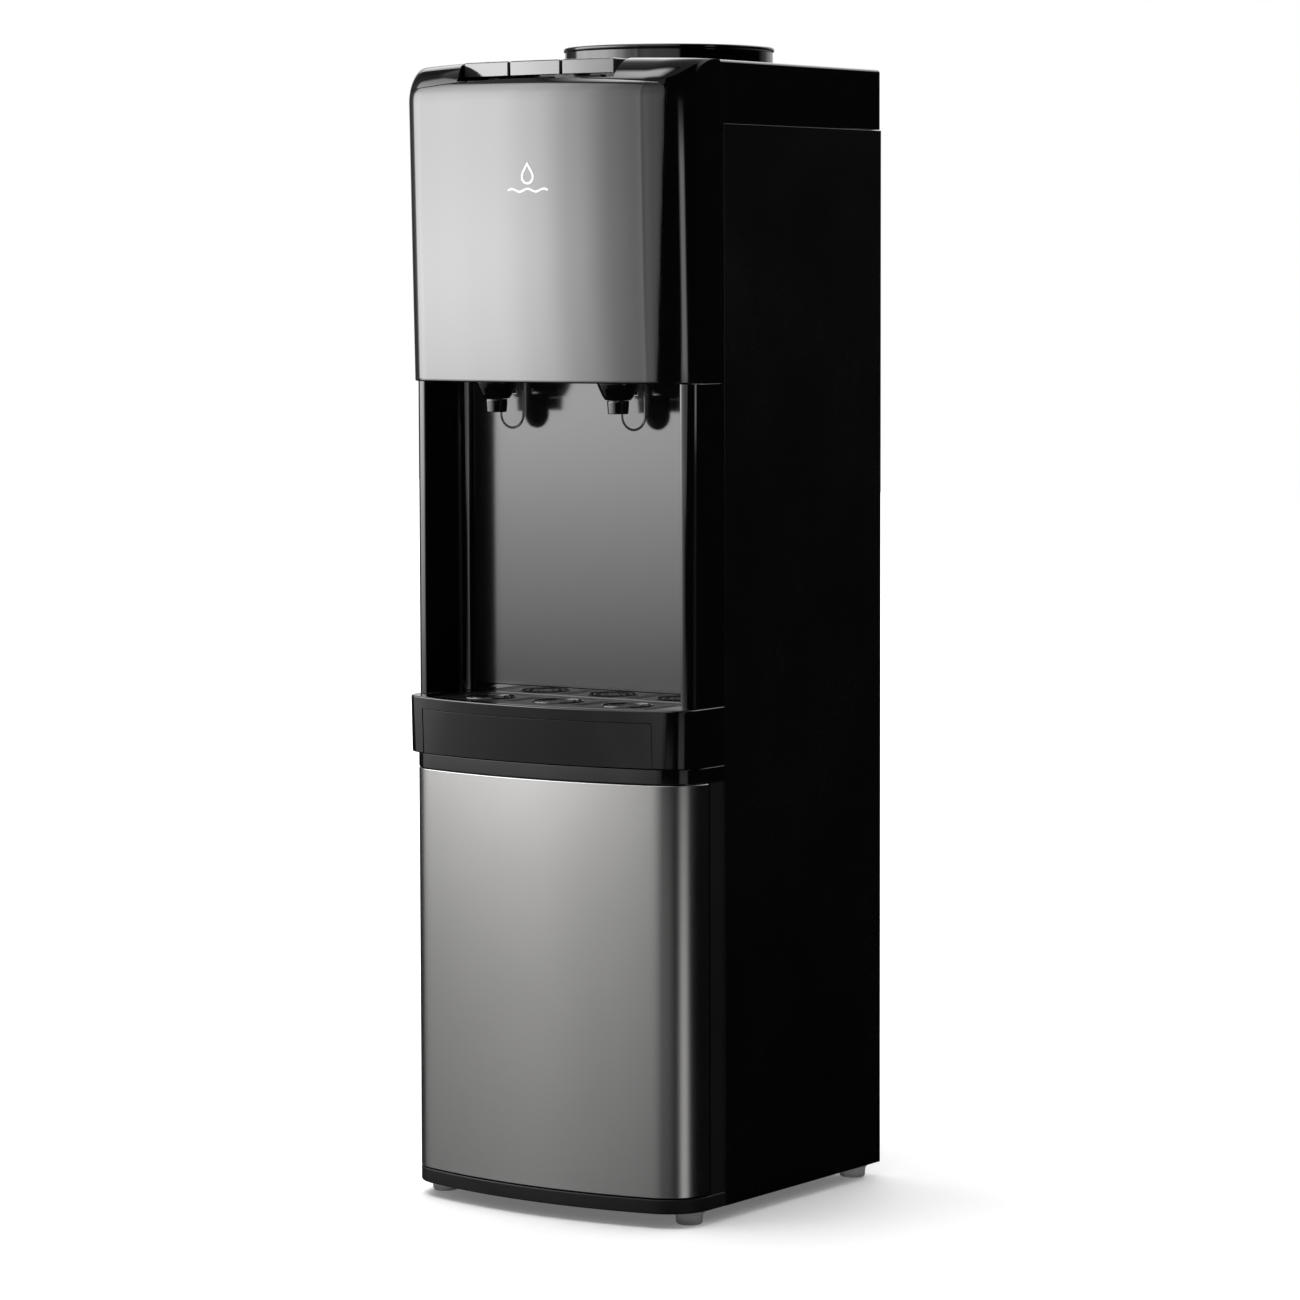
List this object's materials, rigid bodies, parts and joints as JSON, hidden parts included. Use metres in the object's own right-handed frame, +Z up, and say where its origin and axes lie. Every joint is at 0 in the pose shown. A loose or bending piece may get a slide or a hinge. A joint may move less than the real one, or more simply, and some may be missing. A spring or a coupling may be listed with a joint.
{
  "type": "water dispenser",
  "caption": "Floor-standing top-loading water dispenser: bottle collar, press keys, taps with cup paddles over a drip tray, and a storage cabinet with a hinged door.",
  "frame": {"origin": "on the floor, under the middle of the whole object's box", "axes": "+Z up, the longest extent; -Y towards the front with the taps and door; X across, the object is nearly symmetric about X = 0"},
  "size_m": [0.31, 0.3487, 1.0394],
  "materials": {
    "gloss_black": "polished black moulded plastic",
    "panel_black": "high-gloss black inset panel",
    "mirror_black": "mirror-like dark grey panel",
    "matte_black": "fine-textured black plastic",
    "painted_black": "satin black powder coat on sheet steel",
    "compressor_black": "black painted steel shell over a motor",
    "key_grey": "grey moulded plastic with a light sheen",
    "door_steel": "horizontally brushed stainless steel",
    "tank_steel": "plain stainless steel",
    "copper": "bare copper tube",
    "foam": "moulded rigid foam",
    "silicone": "translucent silicone hose",
    "foot_rubber": "translucent grey rubber",
    "inner_white": "off-white moulded plastic",
    "board_green": "green circuit board",
    "switch_red": "red rocker",
    "switch_green": "green rocker"
  },
  "bodies": {
    "cabinet": {"base_plinth": "matte_black", "foot_front_left": "foot_rubber", "foot_front_right": "foot_rubber", "foot_rear_left": "foot_rubber", "foot_rear_right": "foot_rubber", "side_panel_left": "painted_black", "side_panel_right": "painted_black", "rear_cover": "painted_black", "vent_cover": "painted_black", "condenser_coil": "painted_black", "compressor": "compressor_black", "discharge_pipe": "copper", "cold_tank": "tank_steel", "tank_insulation": "foam", "evaporator_coil": "copper", "hot_tank": "tank_steel", "heater_band": "tank_steel", "hot_feed_tube": "silicone", "hot_outlet_tube": "silicone", "cold_outlet_tube": "silicone", "drain_tube": "silicone", "cord_bushing": "matte_black", "switch_housing": "matte_black", "cabinet_liner": "matte_black", "magnet_catch": "foot_rubber", "hinge_pin_bottom": "tank_steel", "hinge_pin_top": "tank_steel", "lower_bezel": "gloss_black", "tray_surround": "gloss_black", "recess_wall_left": "gloss_black", "recess_wall_right": "gloss_black", "recess_back_panel": "mirror_black", "recess_ceiling": "matte_black", "tap_body_left": "gloss_black", "tap_body_right": "gloss_black", "tap_nozzle_left": "gloss_black", "tap_nozzle_right": "gloss_black", "head_front_cover": "gloss_black", "head_front_panel": "panel_black", "key_shaft": "tank_steel", "key_switch_board": "board_green", "top_cover": "gloss_black"},
    "door": {"door_skin": "door_steel", "door_inner_panel": "inner_white", "door_cap_top": "matte_black", "door_cap_bottom": "matte_black"},
    "tray": {"drip_tray": "matte_black", "tray_fascia": "panel_black"},
    "grille": {"drip_grille": "gloss_black"},
    "collar": {"bottle_collar": "gloss_black", "bottle_probe": "inner_white"},
    "hot_key": {"key_hot": "key_grey"},
    "room_key": {"key_room": "key_grey"},
    "cold_key": {"key_cold": "key_grey"},
    "left_paddle": {"paddle_left": "gloss_black"},
    "right_paddle": {"paddle_right": "gloss_black"},
    "hot_switch": {"switch_hot": "switch_red"},
    "cold_switch": {"switch_cold": "switch_green"},
    "cap": {"drain_cap": "matte_black"}
  },
  "joints": [
    {"name": "door_hinge", "type": "hinge", "parent": "cabinet", "child": "door", "pos_m": [0.143, -0.1176, 0.2], "axis": [0, 0, 1], "range_deg": [0, 95]},
    {"name": "tray_slide", "type": "slide", "parent": "cabinet", "child": "tray", "axis": [0, -1, 0], "range_m": [0, 0.08]},
    {"name": "grille_lift", "type": "slide", "parent": "cabinet", "child": "grille", "axis": [0, 0, 1], "range_m": [0, 0.04]},
    {"name": "collar_lift", "type": "slide", "parent": "cabinet", "child": "collar", "axis": [0, 0, 1], "range_m": [0, 0.09]},
    {"name": "key_hot_press", "type": "hinge", "parent": "cabinet", "child": "hot_key", "pos_m": [-0.05565, -0.1085, 1.0125], "axis": [1, 0, 0], "range_deg": [0, 4.5], "stiffness_Nm_per_rad": 0.8, "springref_deg": -1.72},
    {"name": "key_room_press", "type": "hinge", "parent": "cabinet", "child": "room_key", "pos_m": [0, -0.1085, 1.0125], "axis": [1, 0, 0], "range_deg": [0, 4.5], "stiffness_Nm_per_rad": 0.8, "springref_deg": -1.72},
    {"name": "key_cold_press", "type": "hinge", "parent": "cabinet", "child": "cold_key", "pos_m": [0.05565, -0.1085, 1.0125], "axis": [1, 0, 0], "range_deg": [0, 4.5], "stiffness_Nm_per_rad": 0.8, "springref_deg": -1.72},
    {"name": "paddle_left_push", "type": "hinge", "parent": "cabinet", "child": "left_paddle", "pos_m": [-0.067, -0.096, 0.735], "axis": [1, 0, 0], "range_deg": [0, 12], "stiffness_Nm_per_rad": 0.2, "springref_deg": -2.86},
    {"name": "paddle_right_push", "type": "hinge", "parent": "cabinet", "child": "right_paddle", "pos_m": [0.067, -0.096, 0.735], "axis": [1, 0, 0], "range_deg": [0, 12], "stiffness_Nm_per_rad": 0.2, "springref_deg": -2.86},
    {"name": "switch_hot_rock", "type": "hinge", "parent": "cabinet", "child": "hot_switch", "pos_m": [-0.085, 0.152, 0.91], "axis": [1, 0, 0], "range_deg": [0, 16]},
    {"name": "switch_cold_rock", "type": "hinge", "parent": "cabinet", "child": "cold_switch", "pos_m": [-0.055, 0.152, 0.91], "axis": [1, 0, 0], "range_deg": [0, 16]},
    {"name": "drain_cap_pull", "type": "slide", "parent": "cabinet", "child": "cap", "axis": [0, 1, 0], "range_m": [0, 0.015]}
  ]
}
